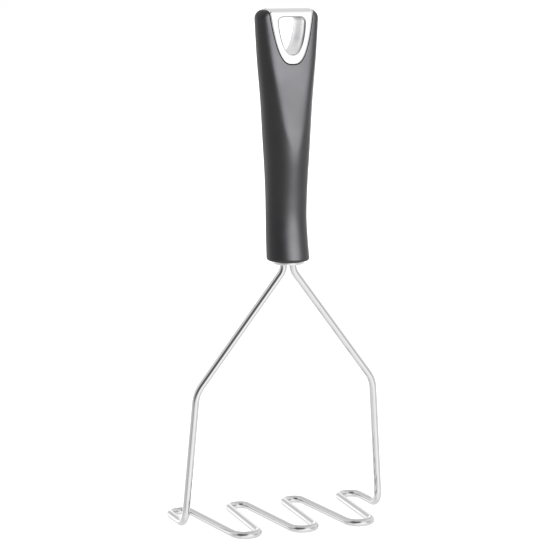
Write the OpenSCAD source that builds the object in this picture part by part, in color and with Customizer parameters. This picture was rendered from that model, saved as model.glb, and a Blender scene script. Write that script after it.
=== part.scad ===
// Hand masher: one thick wire bent into a flat zigzag foot, two legs and two shoulders,
// held in a dark soft grip with a polished end cap and a hang hole.
// Millimetres. The foot rests on z = 0, the handle points up, and the tool is symmetric left to right.

/* [Overall] */
// Height from the underside of the foot to the top of the end cap
total_h = 272.8; // [255:0.1:290]
// Length of the handle
handle_l = 131.7; // [126:0.1:136]

/* [Wire] */
// Diameter of the wire
wire_d = 4; // [3.2:0.1:4.4]
// Distance between the legs at the foot, centre to centre
foot_w = 114; // [112:1:120]
// Depth of the foot, between the centrelines of its front and rear turns
foot_depth = 59; // [50:0.5:66]
// Distance between neighbouring turns on one side of the foot
turn_pitch = 32.6; // [31:0.1:33]
// Centreline radius of the front turns
front_r = 6.4; // [5:0.1:6.6]
// Centreline radius of the two inner rear turns
rear_r = 5.2; // [5:0.1:6.4]
// Centreline radius of the two outer rear turns
outer_r = 5.9; // [5:0.1:6.4]
// Place of the outer rear turns, out from the middle
outer_x = 50.2; // [49:0.1:51]
// Centreline radius of the bends where the legs rise from the foot
leg_r = 7.5; // [4:0.5:9]
// How far the feet of the legs sit behind the middle of the foot
leg_back = 1.8; // [0:0.1:3]
// Distance between the shoulder bends, centre to centre
shoulder_w = 102.4; // [90:0.1:110]
// Height of the shoulder bends
shoulder_z = 72.8; // [60:0.5:80]
// Centreline radius of the shoulder bends
shoulder_r = 16; // [8:1:20]
// Distance between the two tangs, centre to centre
tang_gap = 5.4; // [4.8:0.1:6]
// Centreline radius of the bends where the wire enters the handle
neck_r = 9; // [6:0.5:10]
// How far the tangs sit in front of the legs
tang_forward = 2.4; // [0:0.1:3]
// Length of each tang inside the handle
tang_l = 60; // [40:1:70]

/* [Grip] */
// How far the handle leans back from the legs, in degrees
handle_tilt = 0.8; // [0:0.1:1.2]
// How far the flat faces of the handle are from its middle plane, at the top
flat_half = 6.6; // [6:0.1:7.5]
// Tilt of each flat face
flat_tilt = 4.4; // [3.5:0.1:5]
// Radius of the crowned top, seen from the side
crown_r = 15; // [12:0.5:20]
// Radius of the rounded shoulders of the grip, seen from the front
corner_r = 5; // [3:0.5:6]

/* [End cap] */
// Width of the cap at the top
cap_w = 25.2; // [23:0.1:26]
// Length of the cap down each face
cap_l = 28.3; // [27.5:0.1:32]
// Thickness of the cap's walls
cap_wall = 1.8; // [1.4:0.1:2.2]
// How far the cap stands above the flat faces
cap_proud = 0.4; // [0.2:0.1:0.6]
// Shadow gap between the cap's edge and the grip
cap_gap = 0.5; // [0.3:0.1:0.8]
// Width of the hang hole
hole_w = 14.6; // [12:0.1:15]
// Length of the hang hole
hole_l = 19.1; // [17:0.1:19.5]
// Distance from the top of the handle to the hang hole
hole_down = 4.2; // [3.8:0.1:4.6]

/* [Ferrule] */
// Diameter of the ferrule's visible flange
ferrule_d = 17; // [15:0.5:18]
// Height of the flange under the grip
flange_h = 1.7; // [1.2:0.1:2.5]
// Depth of the spigot inside the core
spigot_l = 3; // [2:0.5:5]

/* [Hidden] */

wire_r = wire_d / 2;
foot_z = wire_r;
grip_z = total_h - handle_l;
flange_z = grip_z - flange_h;
neck_z = flange_z - 3.6;
tang_top = grip_z + tang_l;
tang_y = -tang_forward;
spigot_r = 6;
liner_wall = 1.3;

// Straight lengths of wire are a hair slimmer than the bends and are tucked a little way into
// them, so that every joint of the wire closes cleanly
seam = 0.02;
tuck = 0.4;

// Grip section by height: [share of the handle's length, half width, half depth, centre y]
GRIP = [
    [0.000, 11.3, 11.4, 1.00],
    [0.085, 10.9, 10.9, 0.40],
    [0.170, 10.6, 10.8, 0.05],
    [0.250, 10.7, 11.2, 0.00],
    [0.340, 11.2, 12.1, 0.00],
    [0.415, 11.9, 12.8, 0.00],
    [0.490, 12.6, 12.8, 0.00],
    [0.645, 14.0, 12.6, 0.00],
    [0.805, 16.0, 12.3, 0.00],
    [0.965, 17.4, 12.0, 0.00],
    [1.000, 17.6, 12.0, 0.00]
];

// ---- Wire path ----

// Each entry is a corner of the path and the radius that rounds it, from the middle of the
// foot out to the top of the right tang
function right_path() =
    let (front = -foot_depth / 2, rear = foot_depth / 2)
    let (lean = (tang_y - leg_back) / (neck_z - foot_z))
    [
        [[front_r, front, foot_z], front_r],
        [[turn_pitch / 2 - rear_r, rear, foot_z], rear_r],
        [[turn_pitch / 2 + rear_r, rear, foot_z], rear_r],
        [[turn_pitch - front_r, front, foot_z], front_r],
        [[turn_pitch + front_r, front, foot_z], front_r],
        [[outer_x - outer_r, rear, foot_z], outer_r],
        [[outer_x + outer_r, rear, foot_z], outer_r],
        [[foot_w / 2, leg_back, foot_z], leg_r],
        [[shoulder_w / 2, leg_back + lean * (shoulder_z - foot_z), shoulder_z], shoulder_r],
        [[tang_gap / 2, tang_y, neck_z], neck_r],
        [[tang_gap / 2, tang_y, tang_top], 0]
    ];

function flip(entry) = [[-entry[0].x, entry[0].y, entry[0].z], entry[1]];
function left_path() = let (p = right_path()) [for (i = [len(p) - 1 : -1 : 0]) flip(p[i])];
function wire_path() = concat(left_path(), right_path());

function unit(v) = v / norm(v);
function turn_of(a, b, c) = acos(unit(b - a) * unit(c - b));

// Distance from a corner to where the straight wire ends, just inside its bend
function setback(path, i) =
    i <= 0 || i >= len(path) - 1 ? 0 :
    path[i][1] * tan(turn_of(path[i - 1][0], path[i][0], path[i + 1][0]) / 2) - tuck;

// Round bar between two points
module bar(a, b, r) {
    d = b - a;
    translate(a)
        rotate([0, acos(d.z / norm(d)), atan2(d.y, d.x)])
            cylinder(h = norm(d), r = r);
}

// Round bar bent about the corner b, on the way from a to c
module bend(a, b, c, bend_r, r) {
    travel = unit(b - a);
    turn = turn_of(a, b, c);
    side = unit(unit(c - b) - travel * cos(turn));
    normal = cross(-side, travel);
    centre = b - travel * bend_r * tan(turn / 2) + side * bend_r;
    multmatrix([
        [-side.x, travel.x, normal.x, centre.x],
        [-side.y, travel.y, normal.y, centre.y],
        [-side.z, travel.z, normal.z, centre.z],
        [0, 0, 0, 1]
    ])
        rotate_extrude(angle = turn, $fn = 96)
            translate([bend_r, 0])
                circle(r = r, $fn = 32);
}

// ---- Outlines ----

// Drop of a rounded corner of radius r, at distance d from the edge
function corner_drop(d, r) = d >= r ? 0 : r - sqrt(r * r - (r - d) * (r - d));

// Half width of a shield at the share t of its length, with its exponents in shape
function shield_half(t, w, shape) = w / 2 * pow(1 - pow(t, shape[0]), shape[1]);

// Shield outline, flat at the top and round at the bottom, with its top at y = 0
module shield(w, l, shape, top_r = 0, steps = 26) {
    share = [for (i = [0 : steps - 1]) pow(sin(90 * i / steps), 1.2)];
    side = [for (t = share) [shield_half(t, w, shape) - corner_drop(t * l, top_r), -t * l]];
    polygon(concat(
        side,
        [[0, -l]],
        [for (i = [steps - 1 : -1 : 0]) [-side[i].x, side[i].y]]
    ));
}

// Shield outline pushed right through the handle from front to back
module shield_prism(top, w, l, shape, top_r = 0) {
    leaning()
        translate([0, 0, top])
            rotate([90, 0, 0])
                linear_extrude(height = 60, center = true)
                    shield(w, l, shape, top_r);
}

module cap_prism(grow) {
    shield_prism(total_h + 2, cap_w + 2 * grow, cap_l + 2 + grow, [1.09, 0.35]);
}

module hole_prism(grow) {
    shield_prism(total_h - hole_down + grow, hole_w + 2 * grow, hole_l + 2 * grow, [1.8, 0.45], 2.5 + grow);
}

// Leans its children back with the handle, about the underside of the grip
module leaning() {
    translate([0, 0, grip_z])
        rotate([-handle_tilt, 0, 0])
            translate([0, 0, -grip_z])
                children();
}

// ---- Handle envelopes ----

// Space between the two tilted flat faces and under the crowned top, grown by grow
module flats(grow) {
    reach = handle_l + 20;
    low = flat_half + grow + reach * tan(flat_tilt);
    top = flat_half + grow;
    leaning()
        intersection() {
            translate([0, 0, total_h])
                rotate([90, 0, 90])
                    linear_extrude(height = 60, center = true)
                        polygon([[-top, 0], [top, 0], [low, -reach], [-low, -reach]]);
            union() {
                translate([0, 0, total_h - crown_r])
                    rotate([0, 90, 0])
                        cylinder(h = 60, r = crown_r + grow, center = true, $fn = 96);
                translate([-30, -30, total_h - reach - 1])
                    cube([60, 60, reach + 1 - crown_r]);
            }
        }
}

// Smooth value of one column of the grip table at the share t
function grip_row(t, i = 0) = i >= len(GRIP) - 2 || t < GRIP[i + 1][0] ? i : grip_row(t, i + 1);
function grip_slope(i, k) =
    let (a = max(i - 1, 0), b = min(i + 1, len(GRIP) - 1))
    (GRIP[b][k] - GRIP[a][k]) / (GRIP[b][0] - GRIP[a][0]);
function grip_at(t, k) =
    let (i = grip_row(t), span = GRIP[i + 1][0] - GRIP[i][0], s = (t - GRIP[i][0]) / span)
    let (s2 = s * s, s3 = s2 * s)
    GRIP[i][k] * (2 * s3 - 3 * s2 + 1) + GRIP[i + 1][k] * (3 * s2 - 2 * s3)
    + span * (grip_slope(i, k) * (s3 - 2 * s2 + s) + grip_slope(i + 1, k) * (s3 - s2));

// Full grip form before the flats are cut: stacked oval sections with rounded ends
module grip_form() {
    around = 48;
    rim_r = 1.6;
    body = [for (i = [1 : 21]) rim_r + (handle_l - corner_r - rim_r) * i / 21];
    foot_end = [for (i = [0 : 3]) rim_r * (1 - cos(30 * i))];
    top_end = [for (i = [1 : 7]) handle_l - corner_r * (1 - sin(i * 90 / 7))];
    levels = concat(foot_end, body, top_end);
    points = [
        for (h = levels)
            let (t = h / handle_l)
            let (drop = corner_drop(h, rim_r) + corner_drop(handle_l - h, corner_r))
            for (j = [0 : around - 1])
                let (a = 360 * j / around)
                [
                    (grip_at(t, 1) - drop) * cos(a),
                    (grip_at(t, 2) - drop) * sin(a) + tang_y * grip_at(t, 3),
                    grip_z + h
                ]
    ];
    rows = len(levels);
    sides = [
        for (i = [0 : rows - 2], j = [0 : around - 1])
            let (k = (j + 1) % around, a = i * around, b = (i + 1) * around)
            for (face = [[a + j, b + j, b + k], [a + j, b + k, a + k]])
                face
    ];
    polyhedron(
        points = points,
        faces = concat(
            sides,
            [[for (j = [0 : around - 1]) j]],
            [[for (j = [around - 1 : -1 : 0]) (rows - 1) * around + j]]
        ),
        convexity = 4
    );
}

// Everything that the core fills, before its bores
module core_form() {
    paddle_low = grip_z + 50;
    // stem round the tangs
    translate([0, tang_y, grip_z])
        cylinder(h = tang_l + 6, r = 6.2, $fn = 64);
    // collar behind the ferrule
    translate([0, tang_y, grip_z])
        cylinder(h = spigot_l + 3, r = 8, $fn = 64);
    // paddle that widens towards the head
    intersection() {
        flats(-2.6);
        rotate([90, 0, 0])
            linear_extrude(height = 60, center = true)
                polygon([
                    [-6.5, paddle_low], [6.5, paddle_low],
                    [11, total_h - 24], [-11, total_h - 24]
                ]);
    }
    // head inside the end cap
    intersection() {
        flats(cap_proud - cap_wall);
        cap_prism(cap_gap);
    }
}

// ---- Nodes ----

module wire_frame() {
    path = wire_path();
    color("silver")
        union() {
            for (i = [0 : len(path) - 2]) {
                from = path[i][0];
                to = path[i + 1][0];
                along = unit(to - from);
                bar(from + along * setback(path, i), to - along * setback(path, i + 1), wire_r - seam);
            }
            for (i = [1 : len(path) - 2])
                bend(path[i - 1][0], path[i][0], path[i + 1][0], path[i][1], wire_r);
        }
}

// Holes for both tangs, from below the ferrule to the ends of the tangs
module tang_holes() {
    for (side = [-1, 1])
        translate([side * tang_gap / 2, tang_y, flange_z - 1])
            cylinder(h = tang_top - flange_z + 1, r = wire_r, $fn = 32);
}

module ferrule() {
    color("gainsboro")
        difference() {
            translate([0, tang_y, flange_z])
                union() {
                    cylinder(h = flange_h, r = ferrule_d / 2, $fn = 96);
                    cylinder(h = flange_h + spigot_l, r = spigot_r, $fn = 64);
                }
            tang_holes();
        }
}

module handle_core() {
    color("dimgray")
        difference() {
            core_form();
            translate([0, tang_y, grip_z - 1])
                cylinder(h = spigot_l + 1, r = spigot_r, $fn = 64);
            tang_holes();
            hole_prism(liner_wall);
        }
}

module handle_grip() {
    color([0.16, 0.16, 0.17])
        difference() {
            intersection() {
                leaning()
                    grip_form();
                flats(0);
            }
            cap_prism(cap_gap);
            core_form();
        }
}

module end_cap() {
    color("whitesmoke")
        difference() {
            union() {
                // front wall, rear wall and the bridge over the top
                difference() {
                    intersection() {
                        cap_prism(0);
                        flats(cap_proud);
                    }
                    flats(cap_proud - cap_wall);
                }
                // liner of the hang hole
                intersection() {
                    hole_prism(liner_wall);
                    flats(cap_proud);
                }
            }
            hole_prism(0);
        }
}

wire_frame();
ferrule();
handle_core();
handle_grip();
end_cap();
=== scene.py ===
"""Looks of the hand masher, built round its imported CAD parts.

Shapes are worked out in millimetres in the CAD's frame: +Z up the handle, +X to the right across
the foot, +Y to the rear. They turn into metres when a mesh is made.
"""

import math

import bmesh
import bpy
import numpy as np
from mathutils import Matrix, Vector


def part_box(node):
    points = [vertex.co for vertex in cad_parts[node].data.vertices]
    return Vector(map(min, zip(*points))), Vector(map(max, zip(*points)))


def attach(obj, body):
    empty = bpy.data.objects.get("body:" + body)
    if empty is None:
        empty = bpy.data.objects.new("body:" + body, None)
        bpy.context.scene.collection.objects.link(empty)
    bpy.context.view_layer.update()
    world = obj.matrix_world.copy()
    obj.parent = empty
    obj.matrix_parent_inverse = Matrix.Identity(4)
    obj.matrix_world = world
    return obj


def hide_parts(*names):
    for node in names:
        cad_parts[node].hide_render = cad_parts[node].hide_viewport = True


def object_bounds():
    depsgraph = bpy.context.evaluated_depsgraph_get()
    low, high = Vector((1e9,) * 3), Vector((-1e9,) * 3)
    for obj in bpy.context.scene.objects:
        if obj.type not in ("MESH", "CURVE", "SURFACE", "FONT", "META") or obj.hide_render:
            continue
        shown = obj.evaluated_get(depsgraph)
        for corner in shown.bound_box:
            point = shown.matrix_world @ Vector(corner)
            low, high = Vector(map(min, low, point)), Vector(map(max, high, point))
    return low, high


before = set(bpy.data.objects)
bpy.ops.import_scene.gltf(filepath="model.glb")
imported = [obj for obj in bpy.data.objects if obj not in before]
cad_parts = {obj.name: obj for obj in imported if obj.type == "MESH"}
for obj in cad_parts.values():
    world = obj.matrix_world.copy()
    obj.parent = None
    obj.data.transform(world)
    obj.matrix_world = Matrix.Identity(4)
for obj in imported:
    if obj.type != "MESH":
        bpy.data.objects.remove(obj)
cad_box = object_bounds()

MM = 0.001


def box_mm(node):
    """Lowest and highest corner of a CAD node, in millimetres."""
    low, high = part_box(node)
    return Vector(low) / MM, Vector(high) / MM


# ---- Sizes that the CAD parts give ----

wire_low, wire_high = box_mm("wire_frame")
ferrule_low, ferrule_high = box_mm("ferrule")
grip_low = box_mm("handle_grip")[0]

WIRE_R = 2.0
FOOT_W = wire_high.x - wire_low.x - 2 * WIRE_R
FOOT_DEPTH = wire_high.y - wire_low.y - 2 * WIRE_R
TANG_TOP = wire_high.z
TANG_Y = (ferrule_low.y + ferrule_high.y) / 2
FLANGE_Z = ferrule_low.z
FERRULE_R = (ferrule_high.x - ferrule_low.x) / 2
SPIGOT_TOP = ferrule_high.z
GRIP_Z = grip_low.z
HANDLE_L = 131.7
TOTAL_H = GRIP_Z + HANDLE_L

# ---- Wire ----

TURN_PITCH = 32.6
FRONT_R = 6.4
REAR_R = 5.2
OUTER_R = 5.9
OUTER_X = 50.2
LEG_R = 7.5
LEG_BACK = 1.8
SHOULDER_W = 102.4
SHOULDER_Z = 72.8
SHOULDER_R = 16
TANG_GAP = 5.4
NECK_R = 9
NECK_Z = FLANGE_Z - 3.6
BEND_STEP = math.radians(5)

# ---- Handle ----

HANDLE_TILT = math.radians(0.8)
# The two flats: half thickness under the crown, and how fast they part towards the wire
FLAT_HALF = 6.45
FLAT_SLOPE = math.tan(math.radians(4.6))
# They bulge slightly along their length, most at three quarters of this span from the top
FLAT_SPAN = 85.0
FLAT_BOW = 5.3
# They stand out by the lift in the middle and fall by the crown at this distance to the side
FACE_LIFT = 0.1
FACE_CROWN = 0.45
FACE_CROWN_X = 12.0
# How much of lift and crown is left at these shares of the handle's length
FACE_SHARES = (0.68, 0.9)
FACE_PARTS = (1.0, 0.3)
# Width over which the flats' edges are rounded: crisp at the lower tip, wide beside the cap
CREASE_SHARES = (0.38, 0.46, 0.57, 0.75, 0.88)
CREASE_WIDTHS = (0.1, 0.22, 1.4, 1.6, 2.4)
# The flats blend into the crown over this width
CROWN_BLEND = 0.6
CROWN_R = 15.0
CORNER_R = 5.0
RIM_R = 1.6
# Share of the handle's length, half width, half depth, share of the tangs' offset
GRIP = np.array([
    [0.000, 11.4, 11.4, 1.00],
    [0.085, 11.1, 10.9, 0.32],
    [0.170, 10.85, 10.8, -0.10],
    [0.250, 10.95, 11.2, -0.12],
    [0.340, 11.35, 12.1, -0.05],
    [0.415, 11.9, 12.8, 0.00],
    [0.490, 12.6, 12.8, 0.00],
    [0.645, 14.0, 12.6, 0.00],
    [0.805, 16.0, 12.3, 0.00],
    [0.965, 17.4, 12.0, 0.00],
    [1.000, 17.6, 12.0, 0.00],
])

# ---- End cap: outlines are [width, length, height of the top, two exponents] ----

CAP_PROUD = 0.4
# The strap over the top rises this far above the grip, reached at this height over the top line
CAP_RISE = 0.65
CAP_RISE_OVER = 0.8
CAP_WALL = 1.8
CAP_GAP = 0.3
CAP_RIM_R = 0.7
HOLE_LIP_R = 0.75
LINER_WALL = 1.3
CAP_SHIELD = (25.2, 30.3, HANDLE_L + 2, 1.09, 0.35)
HOLE_SHIELD = (14.6, 19.1, HANDLE_L - 4.2, 1.8, 0.45)
HOLE_CORNER_R = 2.5
# Height about which the hole's outline is swept
HOLE_MIDDLE = HOLE_SHIELD[2] - 0.42 * HOLE_SHIELD[1]


# ---- Mesh helpers ----


def add_grid(bm, rows, slot=0):
    """Quads between rows of points, all of one length, in the given material slot."""
    verts = [[bm.verts.new(Vector(p) * MM) for p in row] for row in rows]
    for low, high in zip(verts, verts[1:]):
        for j in range(len(low) - 1):
            quad = bm.faces.new((low[j], low[j + 1], high[j + 1], high[j]))
            quad.material_index = slot


def add_face(bm, points):
    bm.faces.new([bm.verts.new(Vector(p) * MM) for p in points])


def finish_mesh(bm, name, material, weld=0.002):
    """Welds the patches, turns the faces outwards and makes the object."""
    bmesh.ops.remove_doubles(bm, verts=bm.verts, dist=weld * MM)
    bmesh.ops.dissolve_degenerate(bm, edges=bm.edges, dist=weld * MM / 4)
    bmesh.ops.recalc_face_normals(bm, faces=bm.faces)
    mesh = bpy.data.meshes.new(name)
    bm.to_mesh(mesh)
    bm.free()
    for polygon in mesh.polygons:
        polygon.use_smooth = True
    mesh.materials.append(material)
    piece = bpy.data.objects.new(name, mesh)
    bpy.context.collection.objects.link(piece)
    return piece


# ---- Wire path ----


def right_corners():
    """Corners of the wire's centreline and the radius of each bend, from the middle of the foot."""
    front, rear = -FOOT_DEPTH / 2, FOOT_DEPTH / 2
    lean = (TANG_Y - LEG_BACK) / (NECK_Z - WIRE_R)
    shoulder_y = LEG_BACK + lean * (SHOULDER_Z - WIRE_R)
    return [
        ((FRONT_R, front, WIRE_R), FRONT_R),
        ((TURN_PITCH / 2 - REAR_R, rear, WIRE_R), REAR_R),
        ((TURN_PITCH / 2 + REAR_R, rear, WIRE_R), REAR_R),
        ((TURN_PITCH - FRONT_R, front, WIRE_R), FRONT_R),
        ((TURN_PITCH + FRONT_R, front, WIRE_R), FRONT_R),
        ((OUTER_X - OUTER_R, rear, WIRE_R), OUTER_R),
        ((OUTER_X + OUTER_R, rear, WIRE_R), OUTER_R),
        ((FOOT_W / 2, LEG_BACK, WIRE_R), LEG_R),
        ((SHOULDER_W / 2, shoulder_y, SHOULDER_Z), SHOULDER_R),
        ((TANG_GAP / 2, TANG_Y, NECK_Z), NECK_R),
        ((TANG_GAP / 2, TANG_Y, TANG_TOP), 0),
    ]


def wire_corners():
    right = [(Vector(p), r) for p, r in right_corners()]
    left = [(Vector((-p.x, p.y, p.z)), r) for p, r in reversed(right)]
    return left + right


def bend_points(before, corner, after, radius, step):
    """Points along the arc that rounds a corner."""
    travel = (corner - before).normalized()
    leave = (after - corner).normalized()
    turn = travel.angle(leave)
    side = (leave - travel * math.cos(turn)).normalized()
    start = corner - travel * radius * math.tan(turn / 2)
    count = max(3, math.ceil(turn / step))
    angles = [turn * i / count for i in range(count + 1)]
    return [start + radius * (travel * math.sin(a) + side * (1 - math.cos(a))) for a in angles]


def centreline():
    """The wire's centreline: arcs at the bends, and a point every few millimetres between them."""
    corners = wire_corners()
    points = [corners[0][0]]
    for i in range(1, len(corners) - 1):
        before, (corner, radius), after = corners[i - 1][0], corners[i], corners[i + 1][0]
        arc = bend_points(before, corner, after, radius, BEND_STEP)
        points += straight_points(points[-1], arc[0]) + arc
    return points + straight_points(points[-1], corners[-1][0]) + [corners[-1][0]]


def straight_points(start, end, spacing=3.0):
    count = max(1, round((end - start).length / spacing))
    return [start.lerp(end, i / count) for i in range(1, count)]


def make_wire(material):
    """One round wire swept along the centreline, cut off square at the end of each tang."""
    around = 28
    points = centreline()
    tangents = [(b - a).normalized() for a, b in zip(points, points[1:])]
    tangents.append(tangents[-1])
    across = Vector((1, 0, 0))
    bm = bmesh.new()
    layer = bm.verts.layers.float_vector.new("drawn")
    rings = []
    length = 0.0
    for i, point in enumerate(points):
        ahead = (tangents[max(i - 1, 0)] + tangents[i]).normalized()
        across = (across - ahead * across.dot(ahead)).normalized()
        third = ahead.cross(across)
        length += (point - points[i - 1]).length if i else 0.0
        rings.append(wire_ring(bm, layer, point, across, third, length, around))
    for low, high in zip(rings, rings[1:]):
        for j in range(around):
            k = (j + 1) % around
            bm.faces.new((low[j], low[k], high[k], high[j]))
    for ring in (rings[0], rings[-1]):
        bm.faces.new(ring)
    return finish_mesh(bm, "wire_frame_swept", material)


def wire_ring(bm, layer, point, across, third, length, around):
    ring = []
    for j in range(around):
        a = 2 * math.pi * j / around
        offset = (across * math.cos(a) + third * math.sin(a)) * WIRE_R
        vert = bm.verts.new((point + offset) * MM)
        vert[layer] = Vector((math.cos(a) * WIRE_R, math.sin(a) * WIRE_R, length)) * MM
        ring.append(vert)
    return ring


# ---- Handle surface, in the handle's own upright frame: x, y, h above the grip's underside ----


def hermite(t, column):
    """Smooth value of one column of the grip table at the share t."""
    shares, values = GRIP[:, 0], GRIP[:, column]
    last = len(shares) - 2
    i = int(np.clip(np.searchsorted(shares, t, side="right") - 1, 0, last))
    span = shares[i + 1] - shares[i]
    s = (t - shares[i]) / span
    low, high = max(i - 1, 0), min(i + 2, last + 1)
    slope_a = (values[i + 1] - values[low]) / (shares[i + 1] - shares[low])
    slope_b = (values[high] - values[i]) / (shares[high] - shares[i])
    s2, s3 = s * s, s * s * s
    return (
        values[i] * (2 * s3 - 3 * s2 + 1) + values[i + 1] * (3 * s2 - 2 * s3)
        + span * (slope_a * (s3 - 2 * s2 + s) + slope_b * (s3 - s2))
    )


def corner_drop(d, r):
    """Drop of a rounded corner of radius r at the distance d from the edge."""
    d = max(d, 0.0)
    return 0.0 if d >= r else r - math.sqrt(max(r * r - (r - d) ** 2, 0.0))


def soft_min(a, b, k):
    """The lower of two values, blended over a width k where they are close."""
    mix = min(max(0.5 + 0.5 * (b - a) / k, 0.0), 1.0)
    return b + (a - b) * mix - k * mix * (1 - mix)


def section(h):
    """Half width, half depth and centre y of the oval at the height h."""
    t = min(max(h / HANDLE_L, 0.0), 1.0)
    drop = corner_drop(h, RIM_R) + corner_drop(HANDLE_L - h, CORNER_R)
    return hermite(t, 1) - drop, hermite(t, 2) - drop, TANG_Y * hermite(t, 3)


def flat_limit(h, grow=0.0):
    """Half thickness between the two flat faces and under the crown at the height h."""
    down = HANDLE_L - h
    share = min(down / FLAT_SPAN, 1.0)
    flat = FLAT_HALF + grow + down * FLAT_SLOPE + FLAT_BOW * share ** 3 * (1 - share)
    over = h - (HANDLE_L - CROWN_R)
    if over <= 0:
        return flat
    crown = math.sqrt(max(CROWN_R * CROWN_R - over * over, 0.0))
    return soft_min(flat, crown, CROWN_BLEND)


def upright_to_frame(x, y, h):
    """Leans a point back with the handle and puts it in the frame."""
    c, s = math.cos(HANDLE_TILT), math.sin(HANDLE_TILT)
    return (x, y * c + h * s, GRIP_Z + h * c - y * s)


def oval_y(x, h, side):
    """y of the oval at x on the front (side -1) or the rear (side 1), before the flats."""
    half_w, half_d, centre = section(h)
    return centre + side * half_d * math.sqrt(max(1 - (x / half_w) ** 2, 0.0))


def crease_soft(h):
    """Width over which the crease is rounded at the height h."""
    return float(np.interp(h / HANDLE_L, CREASE_SHARES, CREASE_WIDTHS))


def face_limit(x, h):
    """Half thickness under the slightly crowned flat at x and the height h."""
    part = float(np.interp(h / HANDLE_L, FACE_SHARES, FACE_PARTS))
    return flat_limit(h) + part * (FACE_LIFT - FACE_CROWN * (x / FACE_CROWN_X) ** 2)


def face_y(x, h, side):
    """y of the grip's front or rear face, with a softened crease where the flat cuts the oval."""
    return side * soft_min(side * oval_y(x, h, side), face_limit(x, h), crease_soft(h))


# ---- Outlines ----


def shield_outline(shape, grow, corner_r=0.0, count=900):
    """Points of one side of a shield from its tip to its top: arrays x, h."""
    width, length, top, power_a, power_b = shape
    width, length = width + 2 * grow, length + grow
    if corner_r:
        length, top = length + grow, top + grow
    share = 1 - np.linspace(0, 1, count) ** 3
    half = width / 2 * (1 - share ** power_a) ** power_b
    if corner_r:
        half = half - np.array([corner_drop(t * length, corner_r + grow) for t in share])
    return half, top - share * length


def evenly(x, h, count):
    """The same open curve with its points spaced evenly along it."""
    travelled = np.concatenate([[0], np.cumsum(np.hypot(np.diff(x), np.diff(h)))])
    at = np.linspace(0, travelled[-1], count)
    return np.interp(at, travelled, x), np.interp(at, travelled, h)


# ---- Grip ----

SLOT_EDGE_R = 0.25
FLAT_COLUMNS = 14
SIDE_COLUMNS = 40
BODY_ROWS = 84
SLOT_ROWS = 58
CORNER_ROWS = 18
FILLET_STEPS = 4
WALL_STEPS = 3
# Added to the gap, because the sampled outline runs slightly inside the true one
SLOT_SPARE = 0.03


def crease_x(h):
    """Where the flat meets the oval, kept off the middle so that the columns never bunch up."""
    half_w, half_d = section(h)[:2]
    ratio = min(flat_limit(h) / half_d, 0.97)
    return half_w * math.sqrt(1 - ratio * ratio)


def outer_row(start_x, start_h, level):
    """Points round one half of the grip, from the front's inner edge over the side to the rear's."""
    half_w, half_d, centre = section(level)
    edge = max(crease_x(level), start_x)
    half_w = max(half_w, start_x + 0.02)
    flat = []
    for j in range(FLAT_COLUMNS):
        w = j / FLAT_COLUMNS
        flat.append((start_x + (edge - start_x) * w, start_h + (level - start_h) * w))
    front = [(x, face_y(x, h, -1), h) for x, h in flat]
    rear = [(x, face_y(x, h, 1), h) for x, h in reversed(flat)]
    reach = math.acos(min(edge / half_w, 1.0))
    side = []
    for j in range(SIDE_COLUMNS + 1):
        # a cosine spacing puts more columns near the creases
        a = -reach * math.cos(math.pi * j / SIDE_COLUMNS)
        sign = -1 if a < 0 else 1
        y = centre + half_d * math.sin(a)
        x = half_w * math.cos(a)
        y = sign * soft_min(sign * y, face_limit(x, level), crease_soft(level))
        side.append((x, y, level))
    return front + side + rear


def slot_row(x, h, normal, radius):
    """Points from the front's inner edge, round the slot's edge, across its wall to the rear's."""
    points = []
    for side in (-1, 1):
        edge = []
        for k in range(FILLET_STEPS + 1):
            a = math.pi / 2 * k / FILLET_STEPS
            out = radius * (1 - math.sin(a))
            px, ph = x + normal[0] * out, h + normal[1] * out
            depth = radius * (1 - math.cos(a))
            edge.append((px, face_y(px, ph, side) - side * depth, ph))
        points.append(edge)
    front, rear = points
    wall = [Vector(front[-1]).lerp(Vector(rear[-1]), k / WALL_STEPS) for k in range(1, WALL_STEPS)]
    return front + [tuple(p) for p in wall] + list(reversed(rear))


def slot_outline():
    """Edge of the slot that the end cap fills: x and h, from the tip to the top."""
    x, h = shield_outline(CAP_SHIELD, CAP_GAP + SLOT_SPARE)
    keep = h < HANDLE_L - CORNER_R
    return evenly(x[keep], h[keep], SLOT_ROWS)


def slot_x(h):
    x, heights = shield_outline(CAP_SHIELD, CAP_GAP + SLOT_SPARE)
    return float(np.interp(h, heights, x))


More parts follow.
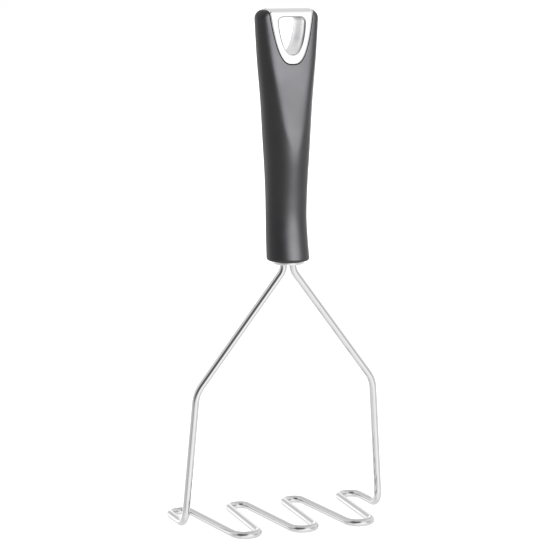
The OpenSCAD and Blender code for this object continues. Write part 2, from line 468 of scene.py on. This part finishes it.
def make_grip(material):
    """The soft grip: ovals cut by two flat faces, with a slot over the top for the end cap."""
    curve_x, curve_h = slot_outline()
    tip = curve_h[0]
    below = tip - SLOT_EDGE_R
    rim = [RIM_R * (1 - math.cos(math.radians(15 * i))) for i in range(6)]
    body = list(np.linspace(RIM_R, below - 0.5, BODY_ROWS))
    rows = [outer_row(0.0, h, h) for h in rim + body]

    slope_x, slope_h = np.gradient(curve_x), np.gradient(curve_h)
    size = np.hypot(slope_x, slope_h)
    normals = np.stack([slope_h / size, -slope_x / size], axis=1)
    normals[0] = (0.0, -1.0)
    levels = np.linspace(below, curve_h[-1], len(curve_h))
    walls = []
    for x, h, normal, level in zip(curve_x, curve_h, normals, levels):
        rows.append(outer_row(x + normal[0] * SLOT_EDGE_R, h + normal[1] * SLOT_EDGE_R, level))
        walls.append(slot_row(x, h, normal, SLOT_EDGE_R))
    for i in range(1, CORNER_ROWS + 1):
        # one degree short of the top, where the lid closes the lobe
        h = HANDLE_L - CORNER_R * (1 - math.sin(math.radians(i * 89.0 / CORNER_ROWS)))
        x = slot_x(h)
        room = min(section(h)[0] - x, flat_limit(h))
        radius = min(SLOT_EDGE_R, 0.4 * max(room, 0.02))
        rows.append(outer_row(x + radius, h, h))
        walls.append(slot_row(x, h, (1.0, 0.0), radius))

    bm = bmesh.new()
    foot = rows[0]
    centre = (0.0, section(0.0)[2], 0.0)
    inner = [[tuple(Vector(centre).lerp(Vector(p), s)) for p in foot] for s in (0.0, 0.4, 0.8)]
    for mirror in (1, -1):
        for grid in (inner + [foot], rows, walls):
            add_grid(bm, [[upright_to_frame(mirror * x, y, h) for x, y, h in row] for row in grid])
        lid = rows[-1] + list(reversed(walls[-1][1:-1]))
        add_face(bm, [upright_to_frame(mirror * x, y, h) for x, y, h in lid])
    return finish_mesh(bm, "handle_grip_soft", material)


# ---- End cap ----

# Height where the cap's two faces end and the strap over the top begins
CAP_TOP_LINE = HANDLE_L - 2.6
TOP_SAMPLES = 24
SIDE_SAMPLES = 46
BRIDGE_STEPS = 30


def cap_y(h, side, depth=0.0):
    return side * (flat_limit(h, CAP_PROUD) - depth)


def cap_outline():
    """Half outline of the cap below the bridge, from the tip up: x, h and outward normal."""
    x, h = shield_outline(CAP_SHIELD, 0.0)
    keep = h <= CAP_TOP_LINE
    top_x = np.interp(CAP_TOP_LINE, h, x)
    x, h = evenly(np.append(x[keep], top_x), np.append(h[keep], CAP_TOP_LINE), SIDE_SAMPLES)
    slope_x, slope_h = np.gradient(x), np.gradient(h)
    size = np.hypot(slope_x, slope_h)
    normal_x, normal_h = slope_h / size, -slope_x / size
    normal_x[0], normal_h[0] = 0.0, -1.0
    normal_x[-1], normal_h[-1] = 1.0, 0.0
    return x, h, normal_x, normal_h


def cap_edge_x(h):
    x, heights = shield_outline(CAP_SHIELD, 0.0)
    return float(np.interp(h, heights, x))


def hole_loop(angles, grow):
    """The hang hole's outline at the given angles about its middle: array of x, h."""
    x, h = shield_outline(HOLE_SHIELD, grow, HOLE_CORNER_R)
    top = np.linspace(x[-1], 0, 60)[1:]
    x, h = np.append(x, top), np.append(h, np.full(len(top), h[-1]))
    x, h = np.append(x, -x[::-1][1:-1]), np.append(h, h[::-1][1:-1])
    bearing = np.arctan2(x, HOLE_MIDDLE - h)
    order = np.argsort(bearing)
    reach = np.hypot(x, h - HOLE_MIDDLE)[order]
    found = np.interp(angles, bearing[order], reach, period=2 * math.pi)
    return np.stack([found * np.sin(angles), HOLE_MIDDLE - found * np.cos(angles)], axis=1)


def loop_normals(loop):
    along = np.roll(loop, -1, axis=0) - np.roll(loop, 1, axis=0)
    out = np.stack([along[:, 1], -along[:, 0]], axis=1)
    return out / np.linalg.norm(out, axis=1)[:, None]


def closed(rows):
    """Each row with its first point again at its end."""
    return [list(row) + [row[0]] for row in rows]


def cap_face(bm, side):
    """One face of the cap: a flat ring between the hang hole and the outline, and its rounded lip."""
    x, h, normal_x, normal_h = cap_outline()
    flat_x, flat_h = x - normal_x * CAP_RIM_R, h - normal_h * CAP_RIM_R
    across = np.linspace(flat_x[-1], -flat_x[-1], TOP_SAMPLES + 1)[1:-1]
    loop_x = np.concatenate([flat_x, across, -flat_x[::-1][:-1]])
    loop_h = np.concatenate([flat_h, np.full(len(across), CAP_TOP_LINE), flat_h[::-1][:-1]])
    angles = np.arctan2(loop_x, HOLE_MIDDLE - loop_h)
    hole = hole_loop(angles, 0.0)
    out = loop_normals(hole)
    rows = []
    for k in range(7):
        a = math.pi / 2 * k / 6
        ring = hole + out * HOLE_LIP_R * (1 - math.cos(a))
        depth = HOLE_LIP_R * (1 - math.sin(a))
        rows.append([(px, cap_y(ph, side, depth), ph) for px, ph in ring])
    mouth = rows[0]
    add_grid(bm, [[upright_to_frame(*p) for p in row] for row in closed(rows)], slot=1)
    rows = rows[-1:]
    lip = hole + out * HOLE_LIP_R
    outer = np.stack([loop_x, loop_h], axis=1)
    for w in (0.2, 0.4, 0.6, 0.8, 1.0):
        ring = lip + (outer - lip) * w
        rows.append([(px, cap_y(ph, side), ph) for px, ph in ring])
    add_grid(bm, [[upright_to_frame(*p) for p in row] for row in closed(rows)])
    return mouth


def cap_inside(bm, side):
    """The hidden back of one face, from the liner to the outline."""
    x, h = cap_outline()[:2]
    across = np.linspace(x[-1], -x[-1], TOP_SAMPLES + 1)[1:-1]
    loop_x = np.concatenate([x, across, -x[::-1][:-1]])
    loop_h = np.concatenate([h, np.full(len(across), CAP_TOP_LINE), h[::-1][:-1]])
    liner = hole_loop(np.arctan2(loop_x, HOLE_MIDDLE - loop_h), LINER_WALL)
    rows = []
    for ring in (liner, np.stack([loop_x, loop_h], axis=1)):
        rows.append([(px, cap_y(ph, side, CAP_WALL), ph) for px, ph in ring])
    add_grid(bm, [[upright_to_frame(*p) for p in row] for row in closed(rows)])
    return rows[0]


def rim_profile(x, h, normal_x, normal_h, side):
    """Rounded edge of the cap at one outline point, from the face down to the hidden side."""
    points = []
    for k in range(6):
        a = math.pi / 2 * k / 5
        inset = CAP_RIM_R * (1 - math.sin(a))
        px, ph = x - normal_x * inset, h - normal_h * inset
        points.append((px, cap_y(ph, side, CAP_RIM_R * (1 - math.cos(a))), ph))
    points.append((x, cap_y(h, side, CAP_WALL), h))
    return points


def bridge_profile(depth):
    """Points over the crown from the front's top line to the rear's: y, h, at a depth below it."""
    fine = 240
    rise = []
    for i in range(fine + 1):
        above = (HANDLE_L - CAP_TOP_LINE) * math.sin(math.pi / 2 * i / fine)
        h = CAP_TOP_LINE + above
        lift = CAP_RISE * min(above / CAP_RISE_OVER, 1.0)
        rise.append((-flat_limit(h, CAP_PROUD), h + lift))
    line = np.array(rise + [(-y, h) for y, h in reversed(rise[:-1])])
    y, h = evenly(line[:, 0], line[:, 1], BRIDGE_STEPS + 1)
    slope_y, slope_h = np.gradient(y), np.gradient(h)
    size = np.hypot(slope_y, slope_h)
    inner_y, inner_h = y + depth * slope_h / size, h - depth * slope_y / size
    if depth:
        # the hidden side ends at the same height as the hidden backs of the faces
        inner_h[0] = inner_h[-1] = CAP_TOP_LINE
        inner_y[0], inner_y[-1] = cap_y(CAP_TOP_LINE, -1, depth), cap_y(CAP_TOP_LINE, 1, depth)
    return inner_y, inner_h


def cap_bridge(bm):
    """The strap over the top, with the same rounded edges as the faces."""
    skin_y, skin_h = bridge_profile(0.0)
    back_y, back_h = bridge_profile(CAP_WALL)
    inner, outer = [], []
    edges = []
    for i in range(BRIDGE_STEPS + 1):
        edge = cap_edge_x(skin_h[i])
        flat = edge - CAP_RIM_R
        xs = np.linspace(flat, -flat, TOP_SAMPLES + 1)
        outer.append([(x, skin_y[i], skin_h[i]) for x in xs])
        hidden = np.linspace(edge, -edge, TOP_SAMPLES + 1)
        inner.append([(x, back_y[i], back_h[i]) for x in hidden])
        toward = Vector((0.0, back_y[i] - skin_y[i], back_h[i] - skin_h[i])) / CAP_WALL
        profile = []
        for k in range(6):
            a = math.pi / 2 * k / 5
            x = edge - CAP_RIM_R * (1 - math.sin(a))
            p = Vector((x, skin_y[i], skin_h[i])) + toward * CAP_RIM_R * (1 - math.cos(a))
            profile.append(tuple(p))
        profile.append(inner[-1][0])
        edges.append(profile)
    for grid in (outer, inner, edges, [[(-x, y, h) for x, y, h in row] for row in edges]):
        add_grid(bm, [[upright_to_frame(*p) for p in row] for row in grid])


def make_cap(material, liner_material):
    """The polished end cap: a strap from the front over the top to the rear, and the hole's liner."""
    bm = bmesh.new()
    x, h, normal_x, normal_h = cap_outline()
    mouths, liners = [], []
    for side in (-1, 1):
        mouths.append(cap_face(bm, side))
        liners.append(cap_inside(bm, side))
        rim = [rim_profile(*values, side) for values in zip(x, h, normal_x, normal_h)]
        for mirror in (1, -1):
            shown = [[upright_to_frame(mirror * px, y, ph) for px, y, ph in row] for row in rim]
            add_grid(bm, shown)
    for front, rear in (mouths, liners):
        rows = [
            [tuple(Vector(a).lerp(Vector(b), k / 10)) for a, b in zip(front, rear)]
            for k in range(11)
        ]
        add_grid(bm, [[upright_to_frame(*p) for p in row] for row in closed(rows)], slot=1)
    cap_bridge(bm)
    cap = finish_mesh(bm, "end_cap_polished", material, weld=0.02)
    cap.data.materials.append(liner_material)
    return cap


# ---- Ferrule ----


def make_ferrule(material):
    """A turned flange with rounded edges and a spigot. The wire's tangs run through it."""
    edge = 0.35
    spigot_r = 6.0
    arc = [math.radians(a) for a in (0, 22.5, 45, 67.5, 90)]
    rim, low, high = FERRULE_R - edge, FLANGE_Z + edge, GRIP_Z - edge
    profile = [(0.0, FLANGE_Z)]
    profile += [(rim + edge * math.sin(a), low - edge * math.cos(a)) for a in arc]
    profile += [(rim + edge * math.cos(a), high + edge * math.sin(a)) for a in arc]
    profile += [(spigot_r, GRIP_Z), (spigot_r, SPIGOT_TOP), (0.0, SPIGOT_TOP)]
    around = 96
    bm = bmesh.new()
    rows = []
    for j in range(around + 1):
        a = 2 * math.pi * j / around
        rows.append([(r * math.cos(a), TANG_Y + r * math.sin(a), z) for r, z in profile])
    add_grid(bm, rows)
    return finish_mesh(bm, "ferrule_turned", material)


# ---- Materials ----


class Shader:
    """Short calls for building one material's node tree."""

    def __init__(self, name):
        self.material = bpy.data.materials.new(name)
        self.material.use_nodes = True
        self.tree = self.material.node_tree
        self.surface = self.tree.nodes["Principled BSDF"]

    def node(self, kind, inputs=None, **settings):
        made = self.tree.nodes.new(kind)
        for name, value in settings.items():
            setattr(made, name, value)
        for name, value in (inputs or {}).items():
            self.feed(made.inputs[name], value)
        return made

    def feed(self, socket, value):
        if isinstance(value, bpy.types.NodeSocket):
            self.tree.links.new(value, socket)
        else:
            socket.default_value = value

    def set(self, **values):
        for name, value in values.items():
            self.feed(self.surface.inputs[name.replace("_", " ")], value)

    def place(self, scale=(1, 1, 1)):
        """Object coordinates, stretched."""
        spot = self.node("ShaderNodeTexCoord").outputs["Object"]
        return self.node("ShaderNodeMapping", {"Vector": spot, "Scale": scale}).outputs["Vector"]

    def attribute(self, name, scale=(1, 1, 1)):
        found = self.node("ShaderNodeAttribute", attribute_name=name).outputs["Vector"]
        return self.node("ShaderNodeMapping", {"Vector": found, "Scale": scale}).outputs["Vector"]

    def noise(self, at, scale, detail=3.0, rough=0.5):
        values = {"Vector": at, "Scale": scale, "Detail": detail, "Roughness": rough}
        return self.node("ShaderNodeTexNoise", values).outputs["Fac"]

    def spread(self, value, low, high, start=0.3, end=0.7):
        """Maps a pattern onto the range from low to high."""
        values = {"Value": value, "From Min": start, "From Max": end, "To Min": low, "To Max": high}
        return self.node("ShaderNodeMapRange", values).outputs["Result"]

    def maths(self, operation, first, second=0.0):
        made = self.node("ShaderNodeMath", operation=operation)
        self.feed(made.inputs[0], first)
        self.feed(made.inputs[1], second)
        return made.outputs["Value"]

    def blend(self, factor, first, second):
        made = self.node("ShaderNodeMix", data_type="RGBA")
        self.feed(made.inputs["Factor"], factor)
        self.feed(made.inputs["A"], (*first, 1) if isinstance(first, tuple) else first)
        self.feed(made.inputs["B"], (*second, 1) if isinstance(second, tuple) else second)
        return next(s for s in made.outputs if s.type == "RGBA")

    def bump(self, height, strength, distance, normal=None):
        values = {"Height": height, "Strength": strength, "Distance": distance}
        made = self.node("ShaderNodeBump", values)
        if normal is not None:
            self.feed(made.inputs["Normal"], normal)
        return made.outputs["Normal"]


def polished_wire():
    """Bright drawn wire: fine lines along it, faint cloudiness and small scuffs."""
    s = Shader("polished_wire")
    lines = s.noise(s.attribute("drawn", (1, 1, 0.02)), 5200, 2.0)
    cloud = s.noise(s.place(), 120, 4.0)
    scuffs = s.noise(s.attribute("drawn", (1, 1, 0.25)), 1500, 4.0, 0.65)
    s.set(
        Metallic=1.0,
        Base_Color=s.blend(cloud, (0.66, 0.66, 0.665), (0.72, 0.72, 0.72)),
        Roughness=s.spread(scuffs, 0.05, 0.14),
        Normal=s.bump(lines, 0.12, 0.00002),
    )
    return s.material


def polished_cap():
    """Bright polished metal with hairline scratches and a faint haze."""
    s = Shader("polished_cap")
    haze = s.noise(s.place(), 90, 4.0)
    scratches = s.noise(s.place((1, 1, 0.06)), 2600, 3.0, 0.6)
    s.set(
        Metallic=1.0,
        Base_Color=s.blend(haze, (0.86, 0.86, 0.865), (0.92, 0.92, 0.92)),
        Roughness=s.spread(scratches, 0.09, 0.2),
        Normal=s.bump(scratches, 0.05, 0.00002),
    )
    return s.material


def satin_liner():
    """Lip and inside of the hanging hole: satin metal, with a painted reflection that brightens its
    colour by both mouths and at its foot.
    """
    s = Shader("satin_liner")
    foot = (GRIP_Z + HOLE_SHIELD[2] - HOLE_SHIELD[1]) * MM
    middle = HOLE_SHIELD[2] * math.sin(HANDLE_TILT) * MM
    spot = s.node("ShaderNodeSeparateXYZ", {"Vector": s.place()}).outputs
    # painted reflection: the colour turns bright towards the hole's foot
    low = s.spread(spot["Z"], 1.0, 0.0, foot + 2.8 * MM, foot + 8.0 * MM)
    # distance from the middle of the hole's depth: painted reflection brightens the colour by the
    # mouth, satin on the lip
    across = s.maths("ABSOLUTE", s.maths("SUBTRACT", spot["Y"], middle))
    painted_mouth_light_mask = s.spread(across, 0.0, 1.0, 2.0 * MM, 6.2 * MM)
    lip = s.spread(across, 1.0, 0.0, 6.0 * MM, 6.5 * MM)
    lines = s.noise(s.place((1, 0.1, 1)), 1800, 3.0, 0.6)
    cloud = s.noise(s.place(), 150, 3.0)
    metal = s.blend(cloud, (0.46, 0.46, 0.47), (0.54, 0.54, 0.55))
    # painted reflection: the colour turns bright by both mouths, but not on the lip
    polished = s.blend(s.maths("MULTIPLY", painted_mouth_light_mask, lip), metal, (0.82, 0.82, 0.82))
    s.set(
        Metallic=1.0,
        Base_Color=s.blend(low, polished, (0.92, 0.92, 0.92)),
        Roughness=s.spread(lines, 0.28, 0.42),
        Normal=s.bump(lines, 0.1, 0.00002),
    )
    return s.material


def turned_steel():
    """Satin steel with fine turning marks round the axis."""
    s = Shader("turned_steel")
    spot = s.node("ShaderNodeTexCoord").outputs["Object"]
    shift = s.node("ShaderNodeMapping", {"Vector": spot, "Location": (0, -TANG_Y * MM, 0)})
    rings = s.node(
        "ShaderNodeTexWave",
        {"Vector": shift.outputs["Vector"], "Scale": 900.0, "Distortion": 2.0, "Detail": 2.0},
        wave_type="RINGS",
        rings_direction="Z",
    ).outputs["Fac"]
    cloud = s.noise(s.place(), 300, 3.0)
    s.set(
        Metallic=1.0,
        Base_Color=s.blend(cloud, (0.72, 0.72, 0.72), (0.82, 0.82, 0.82)),
        Roughness=s.spread(rings, 0.22, 0.34, 0.0, 1.0),
        Normal=s.bump(rings, 0.15, 0.00002),
    )
    return s.material


def moulded_plastic():
    """Dark nylon of the core: fine spark-eroded grain and uneven gloss."""
    s = Shader("moulded_plastic")
    grain = s.noise(s.place(), 4200, 2.0)
    cloud = s.noise(s.place(), 180, 3.0)
    s.set(
        Base_Color=s.blend(cloud, (0.012, 0.012, 0.013), (0.02, 0.02, 0.021)),
        Roughness=s.spread(cloud, 0.5, 0.62),
        Normal=s.bump(grain, 0.3, 0.00004),
    )
    return s.material


def soft_touch():
    """Dark soft-touch rubber: a fine moulded grain, faint dust and slightly uneven gloss."""
    s = Shader("soft_touch")
    grain = s.noise(s.place(), 3200, 2.0, 0.55)
    pores = s.noise(s.place(), 900, 3.0)
    cloud = s.noise(s.place(), 70, 4.0)
    speck = s.noise(s.place(), 1700, 2.0)
    dark = s.blend(cloud, (0.0045, 0.0045, 0.0048), (0.007, 0.007, 0.0074))
    dusted = s.blend(s.spread(speck, 0.0, 0.3, 0.66, 0.78), dark, (0.03, 0.03, 0.031))
    coarse = s.bump(pores, 0.10, 0.0001)
    s.set(
        Specular_IOR_Level=0.44,
        Base_Color=dusted,
        Roughness=s.spread(cloud, 0.40, 0.47),
        Normal=s.bump(grain, 0.22, 0.00004, coarse),
    )
    return s.material


def pale_floor():
    """Translucent white light table, lit from below, so shadows on it stay faint."""
    s = Shader("pale_floor")
    cloud = s.noise(s.place(), 3, 2.0)
    s.set(
        Base_Color=s.blend(cloud, (0.90, 0.90, 0.90), (0.92, 0.92, 0.92)),
        Roughness=0.9,
        Specular_IOR_Level=0.1,
        Emission_Color=(1, 1, 1, 1),
        Emission_Strength=0.6,
    )
    return s.material


# ---- Stage: floor, world, lights and camera ----


def make_floor():
    half = 6000.0
    bm = bmesh.new()
    add_grid(bm, [[(x, y, 0.0) for x in (-half, half)] for y in (-half, half)])
    floor = finish_mesh(bm, "floor", pale_floor())
    floor.visible_glossy = False


def direction(turn, rise):
    """Unit vector towards a place on the studio's walls. Turn 0 is -Y, the object's front."""
    a, e = math.radians(turn), math.radians(rise)
    return Vector((math.sin(a) * math.cos(e), -math.cos(a) * math.cos(e), math.sin(e)))


# Soft patches of the studio: turn, rise, radius of the even middle, radius where it ends, brightness
STUDIO = [
    (-155, -4, 6, 18, 1.50),
    (-80, -9, 22, 56, 0.68),
    (-64, 7, 12, 30, 0.32),
    (-75, -30, 14, 27, 0.97),
    (-35, 31, 24, 46, 0.14),
    (0, -35, 20, 50, 1.15),
    (20, -5, 12, 28, 1.30),
    (52, 6, 16, 28, 0.70),
    (180, 50, 36, 43, 0.76),
    (10, 84, 18, 45, 0.72),
    (164, 11, 7, 15, 1.28),
]
STUDIO_BASE = 0.95
# What lights the floor evenly, and what the camera sees behind it
DOME = 1.0
BACKDROP = 1.0


def make_world():
    world = bpy.data.worlds.new("studio")
    world.use_nodes = True
    tree = world.node_tree
    nodes, links = tree.nodes, tree.links
    back = nodes["Background"]
    ray = nodes.new("ShaderNodeTexCoord").outputs["Generated"]
    light = None
    for turn, rise, inner, outer, value in STUDIO:
        dot = nodes.new("ShaderNodeVectorMath")
        dot.operation = "DOT_PRODUCT"
        dot.inputs[1].default_value = direction(turn, rise)
        links.new(ray, dot.inputs[0])
        fade = nodes.new("ShaderNodeMapRange")
        fade.interpolation_type = "SMOOTHSTEP"
        fade.inputs["From Min"].default_value = math.cos(math.radians(outer))
        fade.inputs["From Max"].default_value = math.cos(math.radians(inner))
        links.new(dot.outputs["Value"], fade.inputs["Value"])
        mix = nodes.new("ShaderNodeMix")
        mix.inputs["A"].default_value = STUDIO_BASE
        mix.inputs["B"].default_value = value
        links.new(fade.outputs["Result"], mix.inputs["Factor"])
        if light is not None:
            links.new(light, mix.inputs["A"])
        light = mix.outputs["Result"]
    path = nodes.new("ShaderNodeLightPath")
    for output, value in (("Is Diffuse Ray", DOME), ("Is Camera Ray", BACKDROP)):
        seen = nodes.new("ShaderNodeMix")
        seen.inputs["B"].default_value = value
        links.new(path.outputs[output], seen.inputs["Factor"])
        links.new(light, seen.inputs["A"])
        light = seen.outputs["Result"]
    links.new(light, back.inputs["Color"])
    bpy.context.scene.world = world


# Soft boxes for the grip: name, turn, rise, distance, width, height, radiance
SOFTBOXES = [
    ("key_softbox", 14, 17, 1.2, 1.38, 1.02, 12.8),
    ("rear_softbox", 140, 16, 1.3, 1.2, 1.0, 2.8),
]
SOFTBOX_COLOUR = (0.955, 0.945, 1.0)


def softbox(name, turn, rise, distance, width, height, radiance):
    """An oval area light that faces the middle of the object."""
    lamp = bpy.data.lights.new(name, "AREA")
    lamp.shape = "ELLIPSE"
    lamp.size, lamp.size_y = width, height
    lamp.color = SOFTBOX_COLOUR
    lamp.energy = radiance * math.pi ** 2 * width * height / 4
    made = bpy.data.objects.new(name, lamp)
    middle = Vector((0, 0, TOTAL_H / 2 * MM))
    out = direction(turn, rise)
    facing = out.to_track_quat("Z", "Y").to_matrix().to_4x4()
    made.matrix_world = Matrix.Translation(middle + out * distance) @ facing
    made.visible_camera = False
    bpy.context.collection.objects.link(made)
    return made


def light_only(lamp, piece):
    """Lets a lamp light one piece only, so the polished parts don't mirror it."""
    lit = bpy.data.collections.new(lamp.name + "_lights")
    lit.objects.link(piece)
    lamp.light_linking.receiver_collection = lit


CAMERA_TURN = -23.63
CAMERA_RISE = 8.88
CAMERA_ROLL = math.radians(0.3)
CAMERA_DISTANCE = 1.201
CAMERA_LENS = 148.5
# Where the camera turns about and where it aims, from the middle of the CAD box, in metres
CAMERA_PIVOT = Vector((0, 0.0015, 0.0004))
CAMERA_AIM = Vector((-0.0058, 0.0015, -0.0035))


def make_camera():
    centre = (Vector(cad_box[0]) + Vector(cad_box[1])) / 2
    back = direction(CAMERA_TURN, CAMERA_RISE) * CAMERA_DISTANCE
    stand = centre + CAMERA_PIVOT + back
    aim = centre + CAMERA_AIM
    ahead = (aim - stand).normalized()
    right = ahead.cross(Vector((0, 0, 1))).normalized()
    up = right.cross(ahead)
    tilted_right = right * math.cos(CAMERA_ROLL) + up * math.sin(CAMERA_ROLL)
    tilted_up = up * math.cos(CAMERA_ROLL) - right * math.sin(CAMERA_ROLL)
    data = bpy.data.cameras.new("camera")
    data.lens = CAMERA_LENS
    data.sensor_width = 36
    data.clip_end = 50
    camera = bpy.data.objects.new("camera", data)
    turned = Matrix((tilted_right, tilted_up, -ahead)).transposed().to_4x4()
    camera.matrix_world = Matrix.Translation(stand) @ turned
    bpy.context.collection.objects.link(camera)
    bpy.context.scene.camera = camera


# ---- Assembly ----

make_camera()
make_floor()
make_world()
bpy.context.scene.view_settings.view_transform = "Standard"

pieces = [
    (make_wire(polished_wire()), "wire_frame", "wire"),
    (make_ferrule(turned_steel()), "ferrule", "ferrule"),
    (make_grip(soft_touch()), "handle_grip", "grip"),
    (make_cap(polished_cap(), satin_liner()), "end_cap", "cap"),
]
grip = pieces[2][0]
for settings in SOFTBOXES:
    light_only(softbox(*settings), grip)
for piece, node, slot in pieces:
    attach(piece, "root")
    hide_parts(node)

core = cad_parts["handle_core"]
core_plastic = moulded_plastic()
for slot in core.material_slots:
    slot.material = core_plastic

bpy.context.view_layer.update()
